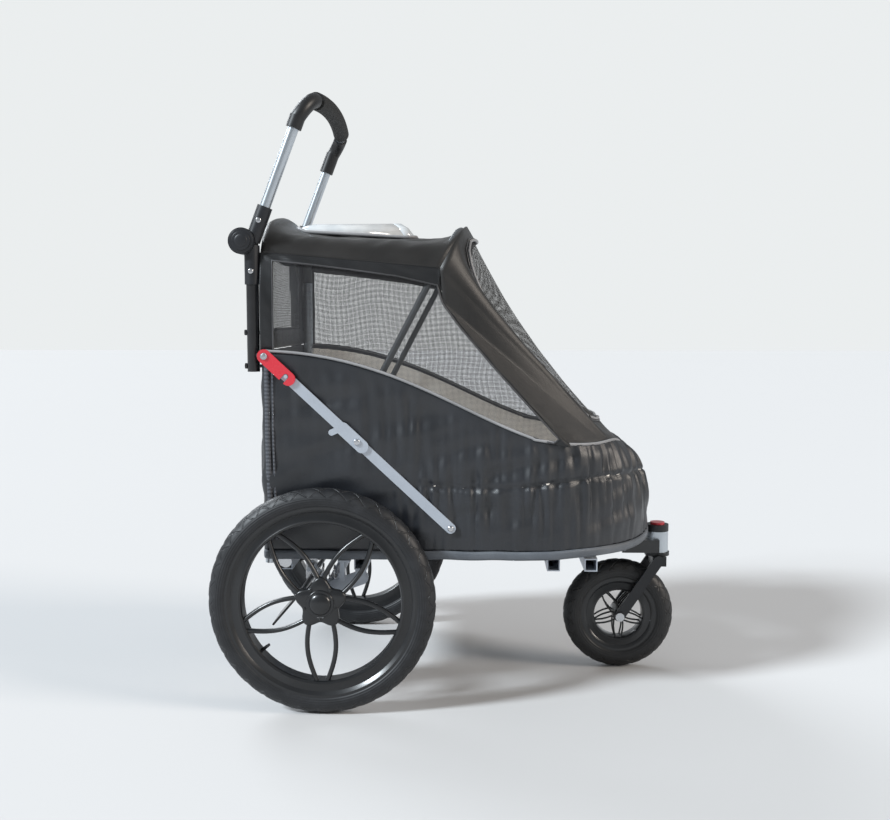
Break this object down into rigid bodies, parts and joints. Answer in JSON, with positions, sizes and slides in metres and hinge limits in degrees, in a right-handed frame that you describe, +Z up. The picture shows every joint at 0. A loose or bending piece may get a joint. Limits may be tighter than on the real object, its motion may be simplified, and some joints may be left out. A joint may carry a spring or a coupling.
{
  "type": "pet stroller",
  "caption": "Folding pet stroller with a closed fabric cabin, large rear wheels, a swivelling front caster, a hinged push handle and folding side braces.",
  "frame": {"origin": "on the floor, below the middle of the stroller's box", "axes": "+X forward towards the front caster, +Y to the stroller's left, +Z up"},
  "size_m": [0.8584, 0.604, 1.1005],
  "materials": {
    "board": "satin",
    "steel_tube": "satin silver",
    "link_silver": "satin silver",
    "dark_tube": "satin grey",
    "black_metal": "satin black",
    "bright_steel": "plated",
    "black_plastic": "satin",
    "rim_plastic": "satin",
    "red_plastic": "satin",
    "navy_fabric": "woven",
    "dark_fabric": "woven",
    "mesh_fabric": "open mesh",
    "tape_fabric": "woven tape",
    "clear_film": "clear",
    "foam": "foam",
    "tyre_rubber": "moulded",
    "soft_rubber": "smooth"
  },
  "bodies": {
    "base": {"floor_board": "board", "floor_mat": "dark_fabric", "edge_tape": "tape_fabric", "base_rails": "steel_tube", "cross_tubes": "steel_tube", "neck": "black_metal", "head_tube": "steel_tube", "head_cap": "black_plastic", "fold_brackets": "bright_steel", "body_anchors": "bright_steel", "suspension_brackets": "bright_steel", "brake_brackets": "bright_steel", "tub_body": "navy_fabric", "tub_piping": "tape_fabric", "rear_pocket": "navy_fabric", "canopy_roof": "dark_fabric", "roof_window": "clear_film", "canopy_side_l": "navy_fabric", "canopy_side_r": "navy_fabric", "mesh_side_l": "mesh_fabric", "mesh_side_r": "mesh_fabric", "front_panel": "dark_fabric", "front_mesh": "mesh_fabric", "rear_panel": "navy_fabric", "spring_l": "bright_steel", "spring_r": "bright_steel"},
    "rear_frame": {"upright_l": "steel_tube", "upright_r": "steel_tube", "rear_bow": "steel_tube", "handle_post_l": "black_metal", "handle_post_r": "black_metal", "post_bolts": "black_metal", "hub_lower_l": "black_plastic", "hub_lower_r": "black_plastic"},
    "handle": {"hub_upper_l": "black_plastic", "hub_upper_r": "black_plastic", "handle_bar": "steel_tube", "elbow_l": "soft_rubber", "elbow_r": "soft_rubber", "foam_grip": "foam"},
    "button_l": {"hub_button_l": "black_plastic"},
    "button_r": {"hub_button_r": "black_plastic"},
    "upper_link_body_l": {"upper_link_l": "link_silver"},
    "upper_link_body_r": {"upper_link_r": "link_silver"},
    "lower_link_body_l": {"lower_link_l": "link_silver"},
    "lower_link_body_r": {"lower_link_r": "link_silver"},
    "lever_body_l": {"lock_lever_l": "red_plastic"},
    "lever_body_r": {"lock_lever_r": "red_plastic"},
    "hoop_body": {"canopy_hoop": "dark_tube"},
    "axle_body": {"axle_assembly": "steel_tube"},
    "brake_body": {"brake_pedal": "black_metal"},
    "wheel_l": {"rear_tyre_l": "tyre_rubber", "rear_wheel_l": "rim_plastic"},
    "wheel_r": {"rear_tyre_r": "tyre_rubber", "rear_wheel_r": "rim_plastic"},
    "caster": {"caster_fork": "black_plastic", "front_axle": "bright_steel"},
    "front_wheel": {"front_tyre": "tyre_rubber", "front_rim": "rim_plastic"},
    "swivel_lock": {"swivel_button": "red_plastic"}
  },
  "joints": [
    {"name": "fold", "type": "hinge", "parent": "base", "child": "rear_frame", "pos_m": [-0.32825, 0, 0.268], "axis": [0, 1, 0], "range_deg": [0, 77], "deforming": ["tub_body", "tub_piping", "rear_pocket", "canopy_roof", "roof_window", "canopy_side_l", "canopy_side_r", "mesh_side_l", "mesh_side_r", "front_panel", "front_mesh", "rear_panel"]},
    {"name": "handle_fold", "type": "hinge", "parent": "rear_frame", "child": "handle", "pos_m": [-0.36945, 0, 0.826], "axis": [0, 1, 0], "range_deg": [-110, 0]},
    {"name": "hub_button_l_press", "type": "slide", "parent": "rear_frame", "child": "button_l", "axis": [0, -1, 0], "range_m": [0, 0.004], "stiffness_N_per_m": 600, "springref_m": -0.003},
    {"name": "upper_link_l_turn", "type": "hinge", "parent": "rear_frame", "child": "upper_link_body_l", "pos_m": [-0.33125, 0.237, 0.626], "axis": [0, 1, 0], "range_deg": [-82, 0]},
    {"name": "lower_link_l_turn", "type": "hinge", "parent": "base", "child": "lower_link_body_l", "pos_m": [-0.00525, 0.235, 0.322], "axis": [0, 1, 0], "range_deg": [0, 166]},
    {"name": "lock_lever_l_lift", "type": "hinge", "parent": "upper_link_body_l", "child": "lever_body_l", "pos_m": [-0.33125, 0.242, 0.626], "axis": [0, -1, 0], "range_deg": [0, 50]},
    {"name": "hub_button_r_press", "type": "slide", "parent": "rear_frame", "child": "button_r", "axis": [0, 1, 0], "range_m": [0, 0.004], "stiffness_N_per_m": 600, "springref_m": -0.003},
    {"name": "upper_link_r_turn", "type": "hinge", "parent": "rear_frame", "child": "upper_link_body_r", "pos_m": [-0.33125, -0.237, 0.626], "axis": [0, 1, 0], "range_deg": [-82, 0]},
    {"name": "lower_link_r_turn", "type": "hinge", "parent": "base", "child": "lower_link_body_r", "pos_m": [-0.00525, -0.235, 0.322], "axis": [0, 1, 0], "range_deg": [0, 166]},
    {"name": "lock_lever_r_lift", "type": "hinge", "parent": "upper_link_body_r", "child": "lever_body_r", "pos_m": [-0.33125, -0.242, 0.626], "axis": [0, -1, 0], "range_deg": [0, 50]},
    {"name": "hoop_fold", "type": "hinge", "parent": "base", "child": "hoop_body", "pos_m": [-0.28425, 0, 0.3], "axis": [0, 1, 0], "range_deg": [0, 61]},
    {"name": "axle_spring", "type": "hinge", "parent": "base", "child": "axle_body", "pos_m": [-0.16925, 0, 0.222], "axis": [0, 1, 0], "range_deg": [0, 4], "stiffness_Nm_per_rad": 80, "springref_deg": -14.32, "deforming": ["spring_l", "spring_r"]},
    {"name": "wheel_l_spin", "type": "hinge", "parent": "axle_body", "child": "wheel_l", "pos_m": [-0.22925, 0.272, 0.2], "axis": [0, 1, 0], "continuous": true},
    {"name": "wheel_r_spin", "type": "hinge", "parent": "axle_body", "child": "wheel_r", "pos_m": [-0.22925, -0.272, 0.2], "axis": [0, 1, 0], "continuous": true},
    {"name": "brake_press", "type": "hinge", "parent": "base", "child": "brake_body", "pos_m": [-0.27125, 0, 0.205], "axis": [0, -1, 0], "range_deg": [0, 18]},
    {"name": "caster_swivel", "type": "hinge", "parent": "base", "child": "caster", "pos_m": [0.39675, 0, 0.233], "axis": [0, 0, 1], "continuous": true},
    {"name": "front_wheel_spin", "type": "hinge", "parent": "caster", "child": "front_wheel", "pos_m": [0.32075, 0, 0.1085], "axis": [0, 1, 0], "continuous": true},
    {"name": "swivel_lock_press", "type": "slide", "parent": "base", "child": "swivel_lock", "axis": [0, 0, -1], "range_m": [0, 0.003], "stiffness_N_per_m": 800, "springref_m": -0.003}
  ],
  "couplings": [
    {"joint": "upper_link_l_turn", "follows": "fold", "ratio": -1.0595},
    {"joint": "lower_link_l_turn", "follows": "fold", "ratio": 2.1497},
    {"joint": "upper_link_r_turn", "follows": "fold", "ratio": -1.0595},
    {"joint": "lower_link_r_turn", "follows": "fold", "ratio": 2.1497},
    {"joint": "hoop_fold", "follows": "fold", "ratio": 0.79}
  ]
}
